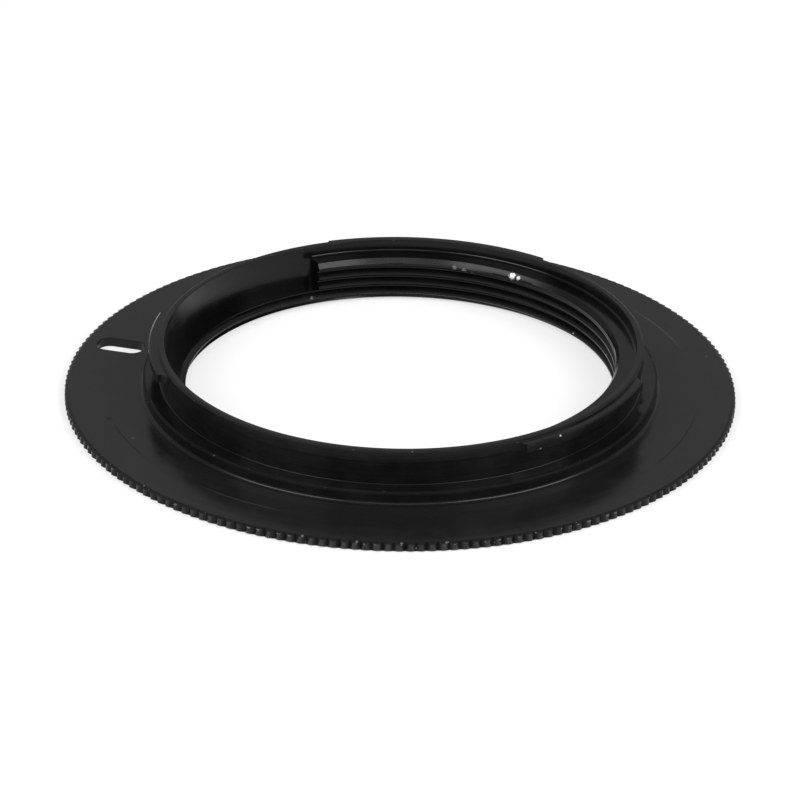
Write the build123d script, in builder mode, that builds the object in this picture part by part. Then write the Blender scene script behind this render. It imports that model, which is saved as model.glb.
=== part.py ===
"""Adapter ring that lets a screw-thread lens sit on a three-lug bayonet camera.

One machined aluminium piece, in millimetres. It stands as it lies on a table: +Z up through the bore,
bottom face (lens side) at z = 0, bayonet on top, the lock-pin slot near -X.
Azimuths are counted from +X, counter-clockwise seen from above.
"""
import os
from math import cos, radians, sin, sqrt, tan

from build123d import *

# Flange
FLANGE_RADIUS = 32.0
FLANGE_THICKNESS = 0.93
TOP_CHAMFER_WIDTH = 0.40
TOP_CHAMFER_DEPTH = 0.18
BOTTOM_CHAMFER_WIDTH = 0.38
BOTTOM_CHAMFER_DEPTH = 0.16

# Knurl: straight V grooves round the flange, just as deep as the top chamfer is wide
KNURL_TEETH = 198
KNURL_ANGLE = 90.0
KNURL_DEPTH = TOP_CHAMFER_WIDTH
KNURL_AZIMUTH = 0.2

# Boss that carries the camera's seat
BOSS_RADIUS = 24.5
BOSS_TOP = 2.2
BOSS_FILLET = 0.33

# Neck under the lugs, and the rim above it
NECK_RADIUS = 22.95
NECK_TOP = 4.6
RIM_RADIUS = 23.15
RIM_BORE_RADIUS = 22.46
RIM_TOP = 5.70
RIM_CHAMFER_WIDTH = 0.20
RIM_CHAMFER_DEPTH = 0.12

# Bayonet lugs, from the azimuth where each leaves the rim to the one where it runs back into it
LUG_RADIUS = 23.97
LUG_TOP = 5.41
LUG_CHAMFER_WIDTH = 0.15
LUG_CHAMFER_DEPTH = 0.12
LUG_END_RADIUS = 1.0
LUG_SPANS = ((52.1, 110.0), (163.2, 200.5), (296.9, 344.3))

# Lens thread, M42 x 1, at its minor diameter
THREAD_MAJOR_RADIUS = 21.0
THREAD_MINOR_RADIUS = 20.46
COUNTERSINK_ANGLE = 120.0
COUNTERSINK_RADIUS = THREAD_MAJOR_RADIUS + 0.35
LEDGE_HEIGHT = 4.55
LEDGE_BORE_RADIUS = 20.8
THREAD_TOP = 4.05

# Relief milled out of the bore, out to the rim's own bore
RELIEF_FLOOR = 1.8
RELIEF_SPAN = (113.3, 312.0)
RELIEF_CORNER_RADIUS = 1.0

# Lock-pin slot through the flange
SLOT_AZIMUTH = 164.0
SLOT_LENGTH = 4.66
SLOT_WIDTH = 2.6
SLOT_EDGE_MARGIN = 1.5
SLOT_CORNER_RADIUS = 1.1

# Dependent sizes
COUNTERSINK_DEPTH = (COUNTERSINK_RADIUS - THREAD_MINOR_RADIUS) / tan(radians(COUNTERSINK_ANGLE / 2))
GROOVE_HALF_WIDTH = KNURL_DEPTH * tan(radians(KNURL_ANGLE / 2))
SLOT_OUTER_RADIUS = FLANGE_RADIUS - SLOT_EDGE_MARGIN
WEB_RADIUS = SLOT_OUTER_RADIUS
OVERCUT = 0.5
SECTION_OVERLAP = 0.2
END_BITE = 0.03
LUG_END_CENTRE = RIM_RADIUS + LUG_END_RADIUS - END_BITE


def polar(radius, azimuth):
    """Point of the ground plane at a radius and an azimuth in degrees."""
    return (radius * cos(radians(azimuth)), radius * sin(radians(azimuth)))


def radial_plane(azimuth):
    """Upright plane through the axis: local x points outwards, local y up."""
    out = polar(1.0, azimuth)
    return Plane(origin=(0, 0, 0), x_dir=(out[0], out[1], 0), z_dir=(out[1], -out[0], 0))


# Bayonet lugs: the same turned section over three arcs, each end left hollow by the cutter that parts them
with BuildPart() as lugs:
    for lug_start, lug_end in LUG_SPANS:
        with BuildSketch(radial_plane(lug_start)):
            with BuildLine():
                Polyline(
                    (RIM_RADIUS - SECTION_OVERLAP, NECK_TOP),
                    (LUG_RADIUS, NECK_TOP),
                    (LUG_RADIUS, LUG_TOP - LUG_CHAMFER_DEPTH),
                    (LUG_RADIUS - LUG_CHAMFER_WIDTH, LUG_TOP),
                    (RIM_RADIUS - SECTION_OVERLAP, LUG_TOP),
                    close=True,
                )
            make_face()
        revolve(axis=Axis.Z, revolution_arc=lug_end - lug_start)
    with BuildSketch(Plane.XY.offset(NECK_TOP)):
        with Locations(*[polar(LUG_END_CENTRE, azimuth) for span in LUG_SPANS for azimuth in span]):
            Circle(LUG_END_RADIUS)
    extrude(amount=LUG_TOP - NECK_TOP, mode=Mode.SUBTRACT)

with BuildPart() as adapter_ring:
    # Knurled edge of the flange: one flat to a tooth, chamfered above and below
    edge_section = (
        (0, FLANGE_RADIUS - BOTTOM_CHAMFER_WIDTH),
        (BOTTOM_CHAMFER_DEPTH, FLANGE_RADIUS),
        (FLANGE_THICKNESS - TOP_CHAMFER_DEPTH, FLANGE_RADIUS),
        (FLANGE_THICKNESS, FLANGE_RADIUS - TOP_CHAMFER_WIDTH),
    )
    for lower, upper in zip(edge_section, edge_section[1:]):
        for height, radius in (lower, upper):
            with BuildSketch(Plane.XY.offset(height)):
                RegularPolygon(radius, KNURL_TEETH, rotation=KNURL_AZIMUTH)
        loft(ruled=True)
    with BuildSketch(Plane.XY):
        with PolarLocations(FLANGE_RADIUS, KNURL_TEETH, start_angle=KNURL_AZIMUTH):
            Polygon(
                (-KNURL_DEPTH, 0),
                (OVERCUT, -GROOVE_HALF_WIDTH * (1 + OVERCUT / KNURL_DEPTH)),
                (OVERCUT, GROOVE_HALF_WIDTH * (1 + OVERCUT / KNURL_DEPTH)),
                align=None,
            )
    extrude(amount=FLANGE_THICKNESS, mode=Mode.SUBTRACT)
    with BuildSketch(Plane.XY):
        Circle(WEB_RADIUS)
    extrude(amount=FLANGE_THICKNESS, mode=Mode.SUBTRACT)

    # Turned body inside the knurled edge
    with BuildSketch(Plane.XZ):
        with BuildLine():
            Polyline(
                (COUNTERSINK_RADIUS, 0),
                (WEB_RADIUS, 0),
                (WEB_RADIUS, FLANGE_THICKNESS),
                (BOSS_RADIUS, FLANGE_THICKNESS),
                (BOSS_RADIUS, BOSS_TOP),
                (NECK_RADIUS, BOSS_TOP),
                (NECK_RADIUS, NECK_TOP),
                (RIM_RADIUS, NECK_TOP),
                (RIM_RADIUS, RIM_TOP - RIM_CHAMFER_DEPTH),
                (RIM_RADIUS - RIM_CHAMFER_WIDTH, RIM_TOP),
                (RIM_BORE_RADIUS, RIM_TOP),
                (RIM_BORE_RADIUS, LEDGE_HEIGHT),
                (LEDGE_BORE_RADIUS, LEDGE_HEIGHT),
                (THREAD_MINOR_RADIUS, THREAD_TOP),
                (THREAD_MINOR_RADIUS, COUNTERSINK_DEPTH),
                close=True,
            )
        make_face()
    revolve(axis=Axis.Z)
    foot = adapter_ring.edges().filter_by(GeomType.CIRCLE).filter_by(
        lambda e: abs(e.radius - BOSS_RADIUS) < 0.01 and abs(e.center().Z - FLANGE_THICKNESS) < 0.01
    )
    fillet(foot, BOSS_FILLET)

    # The lugs stand on the rim
    add(lugs.part)

    # Relief in the bore: full turns of thread stay below its floor
    with BuildSketch(Plane.XY.offset(RELIEF_FLOOR)):
        relief_start, relief_end = RELIEF_SPAN
        relief_inner = THREAD_MINOR_RADIUS - OVERCUT
        with BuildLine():
            outer_arc = CenterArc((0, 0), RIM_BORE_RADIUS, relief_start, relief_end - relief_start)
            inner_arc = CenterArc((0, 0), relief_inner, relief_start, relief_end - relief_start)
            Line(outer_arc @ 0, inner_arc @ 0)
            Line(outer_arc @ 1, inner_arc @ 1)
        relief = make_face()
        corners = relief.vertices().sort_by(lambda v: -sqrt(v.X**2 + v.Y**2))[:2]
        fillet(corners, RELIEF_CORNER_RADIUS)
    extrude(amount=RIM_TOP - RELIEF_FLOOR + OVERCUT, mode=Mode.SUBTRACT)

    # Lock-pin slot
    with BuildSketch(Plane.XY):
        with PolarLocations(SLOT_OUTER_RADIUS - SLOT_LENGTH / 2, 1, start_angle=SLOT_AZIMUTH):
            RectangleRounded(SLOT_LENGTH, SLOT_WIDTH, SLOT_CORNER_RADIUS)
    extrude(amount=FLANGE_THICKNESS, mode=Mode.SUBTRACT)

os.makedirs("parts", exist_ok=True)
adapter_ring.part.label = "adapter_ring"
export_step(adapter_ring.part, "parts/adapter_ring.step")
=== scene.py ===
"""Looks of the lens mount adapter: one fine mesh of the ring, its black anodising, and a plain white set.

Sizes of the ring are in millimetres, as in the part's own source. Azimuths are in degrees and count from +X,
counter-clockwise from above.
"""
import math
import random

import bmesh
import bpy
from mathutils import Matrix, Vector


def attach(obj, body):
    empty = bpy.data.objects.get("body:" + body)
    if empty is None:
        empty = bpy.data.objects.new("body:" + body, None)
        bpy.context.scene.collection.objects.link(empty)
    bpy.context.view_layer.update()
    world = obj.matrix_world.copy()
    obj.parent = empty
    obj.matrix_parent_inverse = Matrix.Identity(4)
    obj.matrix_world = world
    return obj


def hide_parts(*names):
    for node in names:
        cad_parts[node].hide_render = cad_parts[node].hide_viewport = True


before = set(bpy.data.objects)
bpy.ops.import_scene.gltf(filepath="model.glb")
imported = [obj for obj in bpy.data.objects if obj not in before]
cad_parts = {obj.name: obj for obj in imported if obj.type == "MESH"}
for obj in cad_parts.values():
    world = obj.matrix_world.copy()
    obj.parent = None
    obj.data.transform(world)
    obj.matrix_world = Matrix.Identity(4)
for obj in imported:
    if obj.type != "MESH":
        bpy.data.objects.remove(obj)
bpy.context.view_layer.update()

MM = 0.001
SEED = 11
FULL_TURN = 360.0

# Flange and knurl
FLANGE_RADIUS = 32.0
FLANGE_THICKNESS = 0.93
TOP_CHAMFER_WIDTH, TOP_CHAMFER_DEPTH = 0.40, 0.18
BOTTOM_CHAMFER_WIDTH, BOTTOM_CHAMFER_DEPTH = 0.38, 0.16
KNURL_TEETH = 198
KNURL_AZIMUTH = 0.2
KNURL_DEPTH = 0.40

# Boss, neck, rim
BOSS_RADIUS, BOSS_TOP, BOSS_FILLET = 24.5, 2.2, 0.33
NECK_RADIUS, NECK_TOP = 22.95, 4.6
RIM_RADIUS, RIM_BORE_RADIUS, RIM_TOP = 23.15, 22.46, 5.70
RIM_CHAMFER_WIDTH, RIM_CHAMFER_DEPTH = 0.20, 0.12

# Lugs
LUG_RADIUS, LUG_TOP = 23.97, 5.41
LUG_CHAMFER_WIDTH, LUG_CHAMFER_DEPTH = 0.15, 0.12
LUG_END_RADIUS = 1.0
LUG_SPANS = ((52.1, 110.0), (163.2, 200.5), (296.9, 344.3))

# Thread and relief
THREAD_MAJOR, THREAD_MINOR, PITCH = 21.0, 20.46, 1.0
THREAD_PHASE = 0.69
THREAD_TURNS = range(5, -3, -1)
COUNTERSINK_RADIUS = 21.35
COUNTERSINK_SLOPE = math.tan(math.radians(60))
LEDGE_HEIGHT, LEDGE_BORE_RADIUS, THREAD_TOP = 4.55, 20.8, 4.05
LEDGE_FILLET = 0.26
THREAD_RUN_OUT = 0.45
RELIEF_FLOOR, RELIEF_SPAN, RELIEF_CORNER = 1.8, (113.3, 312.0), 1.0

# Slot
SLOT_AZIMUTH, SLOT_LENGTH, SLOT_WIDTH, SLOT_CORNER = 164.0, 4.66, 2.6, 1.1
SLOT_EDGE_MARGIN = 1.5
SLOT_OUTER = FLANGE_RADIUS - SLOT_EDGE_MARGIN

# Set, in metres: the share of plain white in the floor as it is seen, and the studio's own grey
FLOOR_HALF_SIZE = 3.0
FLOOR_WHITE = 0.6
STUDIO_GREY = 0.42
SOFTBOX_DISTANCE = 1.0
# Name, azimuth, elevation, width, height, radiance
SOFTBOXES = (
    ("softbox_left", 214, 40, 0.75, 0.45, 6.0),
    ("softbox_right", 327, 40, 0.95, 0.45, 6.0),
    ("softbox_front", 270, 42, 0.45, 0.30, 2.4),
)

# Camera, fitted to the ring's circles; pixels are of the photograph's square frame
FRAME_PIXELS = 800
FOCAL_PIXELS = 5235.67
CENTRE_X_PIXELS, CENTRE_Y_PIXELS = 400.058, 391.689
SENSOR_WIDTH = 36.0
CAMERA_DISTANCE, CAMERA_ELEVATION, CAMERA_ROLL = 0.5, 26.674, 0.757
CAMERA_TARGET_HEIGHT = 0.0002

# Mesh
COLUMNS = 2 * KNURL_TEETH
KNURL_RING = 31.3
PATCH_OUTER, PATCH_INNER = 30.95, 25.25
PATCH_SPAN = (157.2, 170.8)
COLUMN_GAP = 0.15
EDGE_BREAK = 0.05
BOSS_EDGE_BREAK = 0.015
NECK_FOOT_FILLET, RIM_FOOT_FILLET = 0.08, 0.05
ARC_STEPS = 5
END_STEPS = 8
SLOT_CORNER_STEPS = 8
SHARP_ANGLE = 20
MERGE_DISTANCE = 1e-6
SAME_PLACE = 1e-7
NO_LENGTH = 1e-6 * MM

# Knurl grooves: half of one as (distance from its middle, depth), and how much they differ
GROOVE_FORM = ((0.0, 0.385), (0.06, 0.34), (0.33, 0.075), (0.41, 0.012))
GROOVE_DEPTH_SHARE = (0.82, 1.03)
GROOVE_SHIFT = 0.035
CREST_WEAR = 0.03
FLANK_WAVE = 0.012
KNURL_INSET = 0.15

# Colours of the finish, with painted shade and painted highlights among them
DEEP_BLACK = (0.0034, 0.0034, 0.0037, 1)
PALE_BLACK = (0.0062, 0.0062, 0.0066, 1)
STREAK = (0.012, 0.012, 0.0125, 1)
RING_MARK = (0.055, 0.055, 0.056, 1)
# Dark marks, a painted reflection and painted shade, all in a dull black
MARK_AND_SHADE_BLACK = (0.0015, 0.0015, 0.0015, 1)
DUSTY_BLACK = (0.014, 0.014, 0.014, 1)
# Painted shade for the bore
BORE_SHADE_BLACK = (0.0010, 0.0010, 0.0010, 1)
# Painted highlight for the knurl's crests
CREST_HIGHLIGHT_GREY = (0.030, 0.030, 0.030, 1)
SPECK = (0.16, 0.16, 0.155, 1)
# Scuffs, and painted glints at the knurl's corners
SCUFF_AND_GLINT = (0.14, 0.14, 0.137, 1)
BARE_METAL = (0.52, 0.52, 0.51, 1)
IOR = 1.30

# Worn places as (radius, azimuth, height, size)
BARE_SPOTS = (
    (20.6, 58.2, 4.28, 0.42),
    (20.62, 56.2, 4.22, 0.26),
    (23.9, 308.2, 5.32, 0.12),
    (20.46, 35.0, 0.96, 0.14),
)
SCUFFS = (
    (20.5, 75.3, 4.0, 0.26),
    (20.5, 72.6, 3.85, 0.28),
    (20.46, 70.2, 3.60, 0.24),
    (23.97, 302.7, 4.66, 0.16),
    (20.46, 23.2, 1.48, 0.16),
    (20.46, 14.9, 1.80, 0.20),
    (20.46, 115.5, 1.13, 0.22),
    (31.75, 254.2, 0.86, 0.17),
    (31.75, 263.3, 0.86, 0.15),
    (31.75, 270.6, 0.86, 0.15),
    (31.75, 277.9, 0.86, 0.15),
)


def arc_corner(before, at, after, radius, steps=ARC_STEPS):
    """Points of the corner `at` rounded to a radius; always steps + 1 of them."""
    ax, ay = before[0] - at[0], before[1] - at[1]
    bx, by = after[0] - at[0], after[1] - at[1]
    la, lb = math.hypot(ax, ay), math.hypot(bx, by)
    if min(la, lb) < 1e-6:
        return [at] * (steps + 1)
    ax, ay, bx, by = ax / la, ay / la, bx / lb, by / lb
    half = math.acos(max(-1.0, min(1.0, ax * bx + ay * by))) / 2
    reach = radius / math.tan(half)
    if math.pi / 2 - half < 1e-4:
        return [at] * (steps + 1)
    if reach > min(la, lb):
        reach = min(la, lb)
        radius = reach * math.tan(half)
    mx, my = ax + bx, ay + by
    length = math.hypot(mx, my)
    cx = at[0] + mx / length * radius / math.sin(half)
    cy = at[1] + my / length * radius / math.sin(half)
    start = math.atan2(at[1] + ay * reach - cy, at[0] + ax * reach - cx)
    end = math.atan2(at[1] + by * reach - cy, at[0] + bx * reach - cx)
    turn = (end - start + math.pi) % (2 * math.pi) - math.pi
    return [
        (cx + radius * math.cos(start + turn * i / steps), cy + radius * math.sin(start + turn * i / steps))
        for i in range(steps + 1)
    ]


# Thread form over one pitch, as (height from the crest's middle, radius); the crest's edges are broken
CREST_BREAK_DEPTH, CREST_BREAK_WIDTH = 0.045, 0.04
FLANK = (PITCH - PITCH / 4 - PITCH / 8) / 2
THREAD_FORM = (
    (-PITCH / 8, THREAD_MINOR + CREST_BREAK_DEPTH),
    (-PITCH / 8 + CREST_BREAK_WIDTH, THREAD_MINOR),
    (PITCH / 8 - CREST_BREAK_WIDTH, THREAD_MINOR),
    (PITCH / 8, THREAD_MINOR + CREST_BREAK_DEPTH),
    (PITCH / 8 + FLANK / 2, (THREAD_MAJOR + THREAD_MINOR) / 2),
    (PITCH / 8 + FLANK, THREAD_MAJOR),
    (PITCH * 3 / 8 + FLANK - PITCH / 8, THREAD_MAJOR),
    (PITCH * 7 / 8 - FLANK / 2, (THREAD_MAJOR + THREAD_MINOR) / 2),
)


def thread_radius(z, azimuth):
    """Radius of the thread's surface; the last groove runs out below the chamfer."""
    start = THREAD_FORM[0][0]
    left = min(max((THREAD_TOP - z) / THREAD_RUN_OUT, 0.0), 1.0)
    depth = left * left * (3 - 2 * left)
    u = (z - THREAD_PHASE - PITCH * azimuth / FULL_TURN - start) % PITCH + start
    form = THREAD_FORM + ((THREAD_FORM[0][0] + PITCH, THREAD_FORM[0][1]),)
    for (h0, r0), (h1, r1) in zip(form, form[1:]):
        if h0 - 1e-9 <= u <= h1 + 1e-9:
            return THREAD_MINOR + depth * (r0 + (r1 - r0) * (u - h0) / (h1 - h0) - THREAD_MINOR)
    return THREAD_MINOR


def bore_radius(z, azimuth):
    """Radius of the bore: the thread, opened by the countersink below and the chamfer above."""
    low = COUNTERSINK_RADIUS - z * COUNTERSINK_SLOPE
    high = THREAD_MINOR + (z - THREAD_TOP) * (LEDGE_BORE_RADIUS - THREAD_MINOR) / (LEDGE_HEIGHT - THREAD_TOP)
    return max(thread_radius(z, azimuth), low, high)


def lug_radius(azimuth):
    """Outer radius above the neck: the rim, and the lugs with the hollow that the cutter left at each end."""
    centre = RIM_RADIUS + LUG_END_RADIUS
    for start, end in LUG_SPANS:
        if start < azimuth < end:
            off = math.radians(min(azimuth - start, end - azimuth))
            reach = centre * math.sin(off)
            if reach >= LUG_END_RADIUS:
                return LUG_RADIUS
            return min(centre * math.cos(off) - math.sqrt(LUG_END_RADIUS ** 2 - reach ** 2), LUG_RADIUS)
    return RIM_RADIUS


def section(azimuth, relief_wall):
    """The ring's section at an azimuth: from the flange's top over the rim, down the bore and out below."""
    outer = lug_radius(azimuth)
    lug_edge = min(outer, LUG_RADIUS - LUG_CHAMFER_WIDTH)
    lug_drop = (outer - lug_edge) / LUG_CHAMFER_WIDTH * LUG_CHAMFER_DEPTH
    wall, floor = (LEDGE_BORE_RADIUS, LEDGE_HEIGHT) if relief_wall is None else (relief_wall, RELIEF_FLOOR)
    edge = bore_radius(floor, azimuth)
    corners = (
        ((KNURL_RING, FLANGE_THICKNESS), None),
        ((PATCH_OUTER, FLANGE_THICKNESS), None),
        ((PATCH_INNER, FLANGE_THICKNESS), None),
        ((BOSS_RADIUS, FLANGE_THICKNESS), BOSS_FILLET),
        ((BOSS_RADIUS, BOSS_TOP), BOSS_EDGE_BREAK),
        ((NECK_RADIUS, BOSS_TOP), NECK_FOOT_FILLET),
        ((NECK_RADIUS, NECK_TOP), None),
        ((outer, NECK_TOP), None),
        ((outer, LUG_TOP - lug_drop), None),
        ((lug_edge, LUG_TOP), None),
        ((RIM_RADIUS, LUG_TOP), RIM_FOOT_FILLET),
        ((RIM_RADIUS, RIM_TOP - RIM_CHAMFER_DEPTH), None),
        ((RIM_RADIUS - RIM_CHAMFER_WIDTH, RIM_TOP), None),
        ((RIM_BORE_RADIUS, RIM_TOP), EDGE_BREAK),
        ((RIM_BORE_RADIUS, LEDGE_HEIGHT), LEDGE_FILLET if relief_wall is None else 0),
        ((wall, LEDGE_HEIGHT), None),
        ((wall, floor), None),
        ((edge, floor), None),
    )
    # A corner with no rounding is one point; one rounded to nothing has as many points as the others
    points = []
    for i, (at, radius) in enumerate(corners):
        if radius is None:
            points.append(at)
        elif radius:
            points += arc_corner(corners[i - 1][0], at, corners[i + 1][0], radius)
        else:
            points += [at] * (ARC_STEPS + 1)
    for turn in THREAD_TURNS:
        for height, _ in reversed(THREAD_FORM):
            z = THREAD_PHASE + PITCH * (azimuth / FULL_TURN + turn) + height
            z = min(max(z, 0.0), floor)
            points.append((bore_radius(z, azimuth), z))
    points += [(PATCH_INNER, 0.0), (PATCH_OUTER, 0.0), (KNURL_RING, 0.0)]
    return points


# Rows of the section: the slot patch's outer edge on top, and the top of the wall under the rim's bore
ROW_PATCH_OUTER = 1
ROW_WALL_TOP = 3 + 3 * (ARC_STEPS + 1) + 4 + (ARC_STEPS + 1) + 2 + 2 * (ARC_STEPS + 1)


def relief_wall_radius(azimuth):
    """Radius of the relief's wall, with the milling cutter's corner at both ends; None outside the relief."""
    start, end = RELIEF_SPAN
    if not start <= azimuth <= end:
        return None
    centre = RIM_BORE_RADIUS - RELIEF_CORNER
    corner = math.degrees(math.asin(RELIEF_CORNER / centre))
    off = max(corner - (azimuth - start), corner - (end - azimuth), 0.0)
    off = math.radians(min(off, corner))
    return centre * math.cos(off) + math.sqrt(max(RELIEF_CORNER ** 2 - (centre * math.sin(off)) ** 2, 0.0))


def column_list():
    """(azimuth, relief wall, cut) of every column round the ring; cut marks a relief end's second column."""
    step = FULL_TURN / COLUMNS
    centre = RIM_RADIUS + LUG_END_RADIUS
    sides = centre ** 2 + LUG_END_RADIUS ** 2 - LUG_RADIUS ** 2
    steepest = math.acos(sides / (2 * centre * LUG_END_RADIUS))
    lug_ends = []
    for i in range(END_STEPS + 1):
        turn = steepest * i / END_STEPS
        reach = math.atan2(LUG_END_RADIUS * math.sin(turn), centre - LUG_END_RADIUS * math.cos(turn))
        for start, end in LUG_SPANS:
            lug_ends += [start + math.degrees(reach), end - math.degrees(reach)]
    corner = math.degrees(math.asin(RELIEF_CORNER / (RIM_BORE_RADIUS - RELIEF_CORNER)))
    reach = [corner * (1 - math.cos(math.pi / 2 * i / END_STEPS)) for i in range(1, END_STEPS + 1)]
    relief_ends = [RELIEF_SPAN[0] + a for a in reach] + [RELIEF_SPAN[1] - a for a in reach]
    near = lug_ends + relief_ends + list(RELIEF_SPAN) + [0.0, FULL_TURN]
    plain = [KNURL_AZIMUTH + step * i for i in range(COLUMNS)]
    azimuths = sorted([a for a in plain if min(abs(a - n) for n in near) > COLUMN_GAP] + near)
    columns = []
    for a in azimuths:
        inside = RELIEF_SPAN[0] < a < RELIEF_SPAN[1]
        columns.append((a, relief_wall_radius(a) if inside or a == RELIEF_SPAN[1] else None, False))
        if a in RELIEF_SPAN:
            columns.append((a, relief_wall_radius(a) if a == RELIEF_SPAN[0] else None, True))
    return columns


def at_polar(radius, azimuth, z):
    """Place in metres of a point given in millimetres and degrees."""
    a = math.radians(azimuth)
    return (radius * math.cos(a) * MM, radius * math.sin(a) * MM, z * MM)


def zip_loops(bm, outer, inner, angle):
    """Triangles between two closed loops of vertices, both in rising angle."""
    outer = sorted(outer, key=angle)
    inner = sorted(inner, key=angle)
    full = 2 * math.pi
    a = [angle(v) for v in outer]
    b = [angle(v) for v in inner]
    i = j = 0
    while i < len(outer) or j < len(inner):
        next_a = a[(i + 1) % len(a)] + full * ((i + 1) // len(a))
        next_b = b[(j + 1) % len(b)] + full * ((j + 1) // len(b))
        vo, vi = outer[i % len(outer)], inner[j % len(inner)]
        if j >= len(inner) or (i < len(outer) and next_a <= next_b):
            bm.faces.new((vo, outer[(i + 1) % len(outer)], vi))
            i += 1
        else:
            bm.faces.new((vo, inner[(j + 1) % len(inner)], vi))
            j += 1


def build_body(bm):
    """Everything inside the knurled edge, open at the flange's rim and round the slot."""
    columns = column_list()
    sections = [section(a, wall) for a, wall, _ in columns]
    rows = len(sections[0])
    grid = [[bm.verts.new(at_polar(r, c[0], z)) for r, z in s] for c, s in zip(columns, sections)]
    patch = [k for k, c in enumerate(columns) if PATCH_SPAN[0] <= c[0] <= PATCH_SPAN[1]]
    for k in range(len(columns) - 1):
        left, right = grid[k], grid[k + 1]
        cut = columns[k + 1][2]
        last_cut = ROW_WALL_TOP
        if cut:
            # The relief's end face is one flat polygon, from the ledge down to the relief's floor
            span = range(ROW_WALL_TOP, rows - 3)
            differ = [i for i in span if (left[i].co - right[i].co).length > NO_LENGTH]
            last_cut = max(differ)
            loop = [left[i] for i in range(ROW_WALL_TOP, last_cut + 1)]
            loop += [right[i] for i in range(last_cut, ROW_WALL_TOP - 1, -1)]
            kept = [v for v, w in zip(loop, loop[1:] + loop[:1]) if (v.co - w.co).length > NO_LENGTH]
            bm.faces.new(kept)
        in_patch = k in patch and k + 1 in patch
        for i in range(rows - 1):
            if cut and ROW_WALL_TOP <= i < last_cut:
                continue
            if in_patch and i in (ROW_PATCH_OUTER, rows - 3):
                continue
            a, b, c, d = left[i], left[i + 1], right[i + 1], right[i]
            if (a.co - b.co).length + (d.co - c.co).length > NO_LENGTH:
                bm.faces.new((a, b, c, d))


def build_slot(bm, loops):
    """The slot's wall, with a broken edge, and the flange round it."""
    middle = SLOT_OUTER - SLOT_LENGTH / 2
    a = math.radians(SLOT_AZIMUTH)
    ux, uy = math.cos(a), math.sin(a)
    centre = (middle * ux, middle * uy)

    def outline(grow):
        points = []
        half_l, half_w = SLOT_LENGTH / 2 - SLOT_CORNER, SLOT_WIDTH / 2 - SLOT_CORNER
        for quarter, (sx, sy) in enumerate(((1, 1), (-1, 1), (-1, -1), (1, -1))):
            for i in range(SLOT_CORNER_STEPS + 1):
                t = math.radians(90 * quarter + 90 * i / SLOT_CORNER_STEPS)
                u = sx * half_l + (SLOT_CORNER + grow) * math.cos(t)
                v = sy * half_w + (SLOT_CORNER + grow) * math.sin(t)
                points.append((centre[0] + u * ux - v * uy, centre[1] + u * uy + v * ux))
        return points

    half_way = EDGE_BREAK * 0.29
    levels = (
        (EDGE_BREAK, FLANGE_THICKNESS),
        (half_way, FLANGE_THICKNESS - half_way),
        (0.0, FLANGE_THICKNESS - EDGE_BREAK),
        (0.0, EDGE_BREAK),
        (half_way, half_way),
        (EDGE_BREAK, 0.0),
    )
    rings = [[bm.verts.new((x * MM, y * MM, z * MM)) for x, y in outline(grow)] for grow, z in levels]
    count = len(rings[0])
    for upper, lower in zip(rings, rings[1:]):
        for i in range(count):
            n = (i + 1) % count
            bm.faces.new((upper[i], upper[n], lower[n], lower[i]))

    def angle(v):
        return math.atan2(v.co.y - centre[1] * MM, v.co.x - centre[0] * MM)

    zip_loops(bm, loops[0], rings[0], angle)
    zip_loops(bm, loops[1], rings[-1], angle)


def build_knurl(bm, top, bottom):
    """The knurled edge: straight V grooves that run out through both chamfers."""
    rng = random.Random(SEED)
    pitch = 2 * math.pi * FLANGE_RADIUS / KNURL_TEETH
    form = GROOVE_FORM + ((pitch / 2, 0.0),)
    top_edge = FLANGE_RADIUS - TOP_CHAMFER_WIDTH
    bottom_edge = FLANGE_RADIUS - BOTTOM_CHAMFER_WIDTH
    inner_edge = KNURL_RING + KNURL_INSET
    columns = []
    for tooth in range(KNURL_TEETH):
        depth = rng.uniform(*GROOVE_DEPTH_SHARE)
        shift = rng.uniform(-GROOVE_SHIFT, GROOVE_SHIFT)
        crest = rng.uniform(0.0, CREST_WEAR)
        offsets = [(-u, g) for u, g in reversed(form[1:4])] + list(form)
        for u, g in offsets:
            moved = u + shift if u < pitch / 2 else u
            azimuth = KNURL_AZIMUTH + FULL_TURN / KNURL_TEETH * tooth + math.degrees(moved / FLANGE_RADIUS)
            columns.append((azimuth, FLANGE_RADIUS - min(g * depth + crest, KNURL_DEPTH)))
    grid = []
    for azimuth, radius in columns:
        z_top = FLANGE_THICKNESS - (radius - top_edge) / TOP_CHAMFER_WIDTH * TOP_CHAMFER_DEPTH
        z_bottom = max(radius - bottom_edge, 0.0) / BOTTOM_CHAMFER_WIDTH * BOTTOM_CHAMFER_DEPTH
        points = [(inner_edge, FLANGE_THICKNESS), (top_edge, FLANGE_THICKNESS), (radius, z_top)]
        for share in (0.25, 0.5, 0.75):
            points.append((radius - rng.uniform(0.0, FLANK_WAVE), z_top + (z_bottom - z_top) * share))
        points += [(radius, z_bottom), (min(bottom_edge, radius), 0.0), (inner_edge, 0.0)]
        grid.append([bm.verts.new(at_polar(r, azimuth, z)) for r, z in points])
    for k, left in enumerate(grid):
        right = grid[(k + 1) % len(grid)]
        for i in range(len(left) - 1):
            bm.faces.new((left[i], left[i + 1], right[i + 1], right[i]))

    def angle(v):
        return math.atan2(v.co.y, v.co.x)

    zip_loops(bm, [g[0] for g in grid], top, angle)
    zip_loops(bm, [g[-1] for g in grid], bottom, angle)


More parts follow.
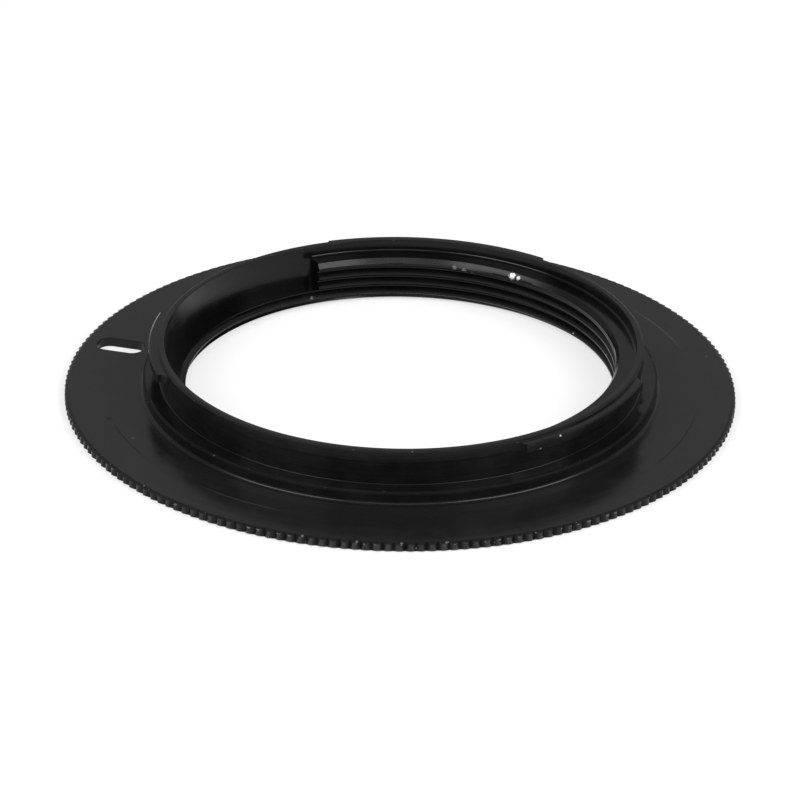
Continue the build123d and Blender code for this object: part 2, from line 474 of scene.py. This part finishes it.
def build_ring():
    """The whole ring as one closed mesh, smooth but for its sharp edges."""
    bm = bmesh.new()
    build_body(bm)
    bmesh.ops.remove_doubles(bm, verts=bm.verts, dist=MERGE_DISTANCE)

    def circle(radius, z):
        """The vertices that stand on a circle round the axis."""
        return [
            v for v in bm.verts
            if abs(v.co.xy.length - radius * MM) < SAME_PLACE and abs(v.co.z - z * MM) < SAME_PLACE
        ]

    top = circle(KNURL_RING, FLANGE_THICKNESS)
    bottom = circle(KNURL_RING, 0.0)
    loops = []
    for z in (FLANGE_THICKNESS, 0.0):
        rim = []
        for radius in (PATCH_OUTER, PATCH_INNER):
            for v in circle(radius, z):
                azimuth = math.degrees(math.atan2(v.co.y, v.co.x)) % FULL_TURN
                if PATCH_SPAN[0] <= azimuth <= PATCH_SPAN[1]:
                    rim.append(v)
        loops.append(rim)
    build_slot(bm, loops)
    build_knurl(bm, top, bottom)
    bmesh.ops.dissolve_degenerate(bm, edges=bm.edges, dist=SAME_PLACE)
    bmesh.ops.triangulate(bm, faces=[f for f in bm.faces if len(f.verts) > 4])
    bmesh.ops.recalc_face_normals(bm, faces=bm.faces)
    for e in bm.edges:
        e.smooth = e.calc_face_angle(0.0) < math.radians(SHARP_ANGLE)
    for f in bm.faces:
        f.smooth = True
    mesh = bpy.data.meshes.new("ring_body")
    bm.to_mesh(mesh)
    bm.free()
    ring = bpy.data.objects.new("ring_body", mesh)
    bpy.context.scene.collection.objects.link(ring)
    normals = ring.modifiers.new("weighted_normals", "WEIGHTED_NORMAL")
    normals.keep_sharp = True
    return ring


class Shader:
    """Short names for building a node material in object space, in millimetres."""

    def __init__(self, name):
        self.material = bpy.data.materials.new(name)
        self.material.use_nodes = True
        self.tree = self.material.node_tree
        self.bsdf = self.tree.nodes["Principled BSDF"]

    def node(self, kind, **settings):
        made = self.tree.nodes.new(kind)
        for name, value in settings.items():
            setattr(made, name, value)
        return made

    def feed(self, socket, value):
        if isinstance(value, bpy.types.NodeSocket):
            self.tree.links.new(value, socket)
        else:
            socket.default_value = value

    def math(self, operation, a, b=0.0, c=0.0, clamp=False):
        made = self.node("ShaderNodeMath", operation=operation, use_clamp=clamp)
        for socket, value in zip(made.inputs, (a, b, c)):
            self.feed(socket, value)
        return made.outputs[0]

    def vector(self, operation, a, b=(0.0, 0.0, 0.0)):
        made = self.node("ShaderNodeVectorMath", operation=operation)
        self.feed(made.inputs[0], a)
        self.feed(made.inputs[1], b)
        return made.outputs["Value" if operation in ("LENGTH", "DISTANCE") else "Vector"]

    def combine(self, x, y, z):
        made = self.node("ShaderNodeCombineXYZ")
        for socket, value in zip(made.inputs, (x, y, z)):
            self.feed(socket, value)
        return made.outputs[0]

    def noise(self, vector, scale, detail=2.0, rough=0.5):
        made = self.node("ShaderNodeTexNoise")
        self.feed(made.inputs["Vector"], vector)
        made.inputs["Scale"].default_value = scale
        made.inputs["Detail"].default_value = detail
        made.inputs["Roughness"].default_value = rough
        return made.outputs["Fac"]

    def ramp(self, value, low, high, to_low=0.0, to_high=1.0):
        made = self.node("ShaderNodeMapRange", interpolation_type="SMOOTHSTEP")
        for socket, number in zip(made.inputs, (value, low, high, to_low, to_high)):
            self.feed(socket, number)
        return made.outputs[0]

    def mix(self, share, a, b):
        made = self.node("ShaderNodeMix", data_type="RGBA")
        self.feed(made.inputs["Factor"], share)
        self.feed(made.inputs["A"], a)
        self.feed(made.inputs["B"], b)
        return made.outputs["Result"]

    def most(self, values):
        total = values[0]
        for value in values[1:]:
            total = self.math("MAXIMUM", total, value)
        return total


def black_anodised():
    """Black anodising on turned aluminium: semi-gloss, streaked along the turning, bare where it is worn."""
    s = Shader("black_anodised")
    place = s.vector("SCALE", s.node("ShaderNodeTexCoord").outputs["Object"])
    place.node.inputs["Scale"].default_value = 1 / MM
    axes = s.node("ShaderNodeSeparateXYZ")
    s.feed(axes.inputs[0], place)
    x, y, z = axes.outputs
    radius = s.vector("LENGTH", s.combine(x, y, 0.0))
    azimuth = s.math("DEGREES", s.math("ARCTAN2", s.math("MULTIPLY", y, -1.0), s.math("MULTIPLY", x, -1.0)))
    azimuth = s.math("ADD", azimuth, 180.0)
    round_x = s.math("DIVIDE", x, radius)
    round_y = s.math("DIVIDE", y, radius)

    def turned(across, along):
        """Noise drawn out along the turning direction."""
        depth = s.math("MULTIPLY", s.math("ADD", radius, s.math("MULTIPLY", z, 1.3)), across)
        way = s.combine(s.math("MULTIPLY", round_x, along), s.math("MULTIPLY", round_y, along), depth)
        return s.noise(way, 1.0, detail=3.0, rough=0.6)

    def spot(at_radius, at_azimuth, at_z, size):
        """A soft spot, broken up at its edge."""
        a = math.radians(at_azimuth)
        centre = (at_radius * math.cos(a), at_radius * math.sin(a), at_z)
        away = s.vector("DISTANCE", place, centre)
        ragged = s.math("MULTIPLY_ADD", s.noise(place, 3.0 / size, 3.0), size * 1.6, size * -0.8)
        return s.ramp(s.math("ADD", away, ragged), size * 0.55, size, 1.0, 0.0)

    def arc(at_radius, width, start, end, fade=4.0):
        """A fine ring mark on the flange over a stretch of azimuth."""
        off = s.math("ABSOLUTE", s.math("SUBTRACT", radius, at_radius))
        line = s.ramp(off, width * 0.3, width, 1.0, 0.0)
        on = s.ramp(azimuth, start - fade, start + fade)
        out = s.ramp(azimuth, end - fade, end + fade, 1.0, 0.0)
        return s.math("MULTIPLY", line, s.math("MULTIPLY", on, out))

    fine = turned(9.0, 3.0)
    broad = turned(1.6, 1.4)
    mottle = s.noise(place, 0.35, 4.0, 0.6)
    grain = s.noise(place, 9.0, 2.0, 0.7)

    # Dust and burrs: sparse small cells, most of them on the knurl and along the sharp edges; with them,
    # painted glints at the knurl's corners
    cells = s.node("ShaderNodeTexVoronoi", feature="F1")
    s.feed(cells.inputs["Vector"], place)
    cells.inputs["Scale"].default_value = 2.4
    cell = s.node("ShaderNodeSeparateColor")
    s.feed(cell.inputs[0], cells.outputs["Color"])
    knurl_zone = s.ramp(radius, FLANGE_RADIUS - 0.6, FLANGE_RADIUS - 0.3)
    edge_off = s.math("ADD", s.math("ABSOLUTE", s.math("SUBTRACT", radius, BOSS_RADIUS)),
                      s.math("ABSOLUTE", s.math("SUBTRACT", z, BOSS_TOP)))
    boss_edge = s.ramp(edge_off, 0.1, 0.35, 1.0, 0.0)
    # Painted glints at the corners of the knurl's teeth, under the top chamfer
    corner_off = s.math("ABSOLUTE", s.math("SUBTRACT", z, FLANGE_THICKNESS - TOP_CHAMFER_DEPTH))
    corners = s.math("MULTIPLY", s.ramp(corner_off, 0.04, 0.09, 1.0, 0.0),
                     s.ramp(radius, FLANGE_RADIUS - 0.14, FLANGE_RADIUS - 0.07))
    sparkle = s.math("MULTIPLY", corners, s.ramp(s.noise(place, 1.7, 1.0), 0.56, 0.62))
    rim_edge = s.math("MULTIPLY", s.ramp(z, RIM_TOP - 0.25, RIM_TOP - 0.08),
                      s.ramp(radius, NECK_RADIUS - 0.05, NECK_RADIUS + 0.05))
    busy = s.most([knurl_zone, boss_edge, s.math("MULTIPLY", rim_edge, 0.8)])
    threshold = s.math("MULTIPLY_ADD", busy, -0.28, 0.998)
    speck_size = s.math("MULTIPLY", cell.outputs[1], 0.22)
    specks = s.math("MULTIPLY", s.math("GREATER_THAN", cell.outputs[0], threshold),
                    s.math("LESS_THAN", cells.outputs["Distance"], speck_size))

    # Places where the anodising is off
    bare = s.most([spot(*item) for item in BARE_SPOTS])
    scuffs = s.most([spot(*item) for item in SCUFFS])
    light_marks = s.most([
        arc(28.5, 0.16, 19.0, 36.0),
        s.math("MULTIPLY", arc(28.0, 0.12, 231.0, 247.0), 0.8),
        spot(27.6, 205.4, FLANGE_THICKNESS, 0.28),
    ])
    # Dark marks on the flange, and a painted dark reflection of a lug's end on the rim wall
    dark_marks_and_painted_reflection = s.most([
        arc(28.3, 0.14, 199.0, 213.0),
        s.math("MULTIPLY", arc(28.5, 0.14, 327.0, 348.0), 0.8),
        spot(28.5, 196.0, FLANGE_THICKNESS, 0.45),
        # Painted reflection of the right-front lug's dark end face on the rim wall beside it
        spot(23.15, 297.4, 4.95, 0.60),
    ])

    black = s.mix(s.ramp(mottle, 0.3, 0.75), DEEP_BLACK, PALE_BLACK)
    black = s.mix(s.math("MULTIPLY", s.ramp(fine, 0.55, 0.8), 0.5), black, STREAK)
    black = s.mix(s.math("MULTIPLY", light_marks, 0.6), black, RING_MARK)
    black = s.mix(s.math("MULTIPLY", dark_marks_and_painted_reflection, 0.6), black, MARK_AND_SHADE_BLACK)
    # The open flange is a little dusty; the bore is painted deep black, as painted shade inside the hollow
    black = s.mix(s.ramp(radius, BOSS_RADIUS - 0.1, BOSS_RADIUS + 0.7, 0.0, 0.38), black, DUSTY_BLACK)
    # Painted shade: everything inside the rim's bore is darkened towards deep black
    inside = s.ramp(radius, RIM_BORE_RADIUS - 0.02, RIM_BORE_RADIUS + 0.06, 1.0, 0.0)
    black = s.mix(s.math("MULTIPLY", inside, 0.7), black, BORE_SHADE_BLACK)
    # The knurl: crests painted lighter as a painted highlight on the lands, grooves painted darker as painted
    # shade
    crests = s.ramp(radius, FLANGE_RADIUS - 0.16, FLANGE_RADIUS - 0.05)
    crest_highlight = s.math("MULTIPLY", crests, s.ramp(s.noise(place, 1.3), 0.4, 0.6, 0.2, 0.8))
    grooves = s.math("MULTIPLY", s.ramp(radius, FLANGE_RADIUS - 0.43, FLANGE_RADIUS - 0.36),
                     s.ramp(radius, FLANGE_RADIUS - 0.26, FLANGE_RADIUS - 0.12, 1.0, 0.0))
    # Painted highlight on the crests, then painted shade in the grooves
    black = s.mix(crest_highlight, black, CREST_HIGHLIGHT_GREY)
    black = s.mix(s.math("MULTIPLY", grooves, 0.7), black, MARK_AND_SHADE_BLACK)
    colour = s.mix(s.math("MULTIPLY", specks, 0.7), black, SPECK)
    # Scuffs, and the painted glints, in a pale grey
    colour = s.mix(s.math("MULTIPLY", s.most([scuffs, sparkle]), 0.65), colour, SCUFF_AND_GLINT)
    colour = s.mix(bare, colour, BARE_METAL)
    s.feed(s.bsdf.inputs["Base Color"], colour)
    s.feed(s.bsdf.inputs["Metallic"], bare)

    rough = s.math("ADD", s.ramp(broad, 0.3, 0.7, 0.13, 0.21), s.ramp(mottle, 0.35, 0.7, 0.0, 0.06))
    rough = s.math("ADD", rough, s.math("MULTIPLY", s.math("ADD", specks, dark_marks_and_painted_reflection), 0.35), clamp=True)
    rough = s.math("ADD", rough, s.math("MULTIPLY", s.math("ADD", bare, grooves), 0.25), clamp=True)
    rough = s.math("ADD", rough, s.ramp(radius, THREAD_MAJOR - 0.1, THREAD_MAJOR + 0.1, 0.08, 0.0))
    rough = s.math("ADD", rough, s.math("MULTIPLY", s.most([boss_edge, rim_edge]), 0.35))
    s.feed(s.bsdf.inputs["Roughness"], rough)
    s.bsdf.inputs["IOR"].default_value = IOR

    # Heights in millimetres
    height = s.math("MULTIPLY", fine, 0.0030)
    height = s.math("ADD", height, s.math("MULTIPLY", broad, 0.0080))
    height = s.math("ADD", height, s.math("MULTIPLY", grain, 0.0008))
    height = s.math("ADD", height, s.math("MULTIPLY", s.math("ADD", specks, bare), 0.02))
    bump = s.node("ShaderNodeBump")
    bump.inputs["Strength"].default_value = 1.0
    bump.inputs["Distance"].default_value = MM
    s.feed(bump.inputs["Height"], height)
    s.feed(s.bsdf.inputs["Normal"], bump.outputs[0])
    return s.material


ring = build_ring()
ring.data.materials.append(black_anodised())
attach(ring, "root")
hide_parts("adapter_ring")


def add_floor():
    """A plain pale floor that looks white and keeps the ring's shadow."""
    half = FLOOR_HALF_SIZE
    mesh = bpy.data.meshes.new("floor")
    corners = [(-half, -half, 0), (half, -half, 0), (half, half, 0), (-half, half, 0)]
    mesh.from_pydata(corners, [], [(0, 1, 2, 3)])
    floor = bpy.data.objects.new("floor", mesh)
    bpy.context.scene.collection.objects.link(floor)
    s = Shader("floor")
    grain = s.noise(s.node("ShaderNodeTexCoord").outputs["Object"], 60.0, 3.0)
    s.feed(s.bsdf.inputs["Base Color"], s.mix(grain, (0.88, 0.88, 0.88, 1), (0.90, 0.90, 0.90, 1)))
    s.bsdf.inputs["Roughness"].default_value = 0.9
    s.bsdf.inputs["Specular IOR Level"].default_value = 0.0
    # The white ground of the photograph, seen directly and in reflections, under a share of the real shading
    light_path = s.node("ShaderNodeLightPath").outputs
    seen = s.most([light_path[kind] for kind in ("Is Camera Ray", "Is Glossy Ray", "Is Transmission Ray")])
    white = s.node("ShaderNodeEmission")
    white.inputs["Strength"].default_value = 1.0
    blend = s.node("ShaderNodeMixShader")
    s.feed(blend.inputs[0], s.math("MULTIPLY", seen, FLOOR_WHITE))
    s.tree.links.new(s.bsdf.outputs[0], blend.inputs[1])
    s.tree.links.new(white.outputs[0], blend.inputs[2])
    s.tree.links.new(blend.outputs[0], s.tree.nodes["Material Output"].inputs["Surface"])
    mesh.materials.append(s.material)


def add_world():
    """A pale grey studio all round."""
    world = bpy.data.worlds.new("studio")
    bpy.context.scene.world = world
    world.use_nodes = True
    ground = world.node_tree.nodes["Background"]
    ground.inputs["Color"].default_value = (STUDIO_GREY, STUDIO_GREY, STUDIO_GREY, 1)
    ground.inputs["Strength"].default_value = 1.0


def add_softbox(name, azimuth, elevation, width, height, radiance):
    """A soft box turned to the ring."""
    a, e = math.radians(azimuth), math.radians(elevation)
    way = Vector((math.cos(e) * math.cos(a), math.cos(e) * math.sin(a), math.sin(e)))
    data = bpy.data.lights.new(name, "AREA")
    data.shape = "RECTANGLE"
    data.size, data.size_y = width, height
    data.energy = radiance * math.pi * width * height
    box = bpy.data.objects.new(name, data)
    box.location = way * SOFTBOX_DISTANCE
    box.rotation_mode = "QUATERNION"
    box.rotation_quaternion = way.to_track_quat("Z", "Y")
    bpy.context.scene.collection.objects.link(box)


def add_camera():
    """The camera at the photograph's viewing angle."""
    elevation, roll = math.radians(CAMERA_ELEVATION), math.radians(CAMERA_ROLL)
    target = Vector((0, 0, CAMERA_TARGET_HEIGHT))
    back = Vector((0, -math.cos(elevation), math.sin(elevation)))
    data = bpy.data.cameras.new("camera")
    data.sensor_width = SENSOR_WIDTH
    data.lens = FOCAL_PIXELS / FRAME_PIXELS * SENSOR_WIDTH
    data.shift_y = (CENTRE_Y_PIXELS - FRAME_PIXELS / 2) / FRAME_PIXELS
    data.shift_x = (FRAME_PIXELS / 2 - CENTRE_X_PIXELS) / FRAME_PIXELS
    data.clip_start, data.clip_end = 0.01, 20
    camera = bpy.data.objects.new("camera", data)
    camera.location = target + back * CAMERA_DISTANCE
    camera.rotation_mode = "QUATERNION"
    rolled = Matrix.Rotation(roll, 3, "Z").to_quaternion()
    camera.rotation_quaternion = (-back).to_track_quat("-Z", "Y") @ rolled
    bpy.context.scene.collection.objects.link(camera)
    bpy.context.scene.camera = camera


add_floor()
add_world()
for softbox in SOFTBOXES:
    add_softbox(*softbox)
add_camera()
bpy.context.scene.view_settings.view_transform = "Standard"
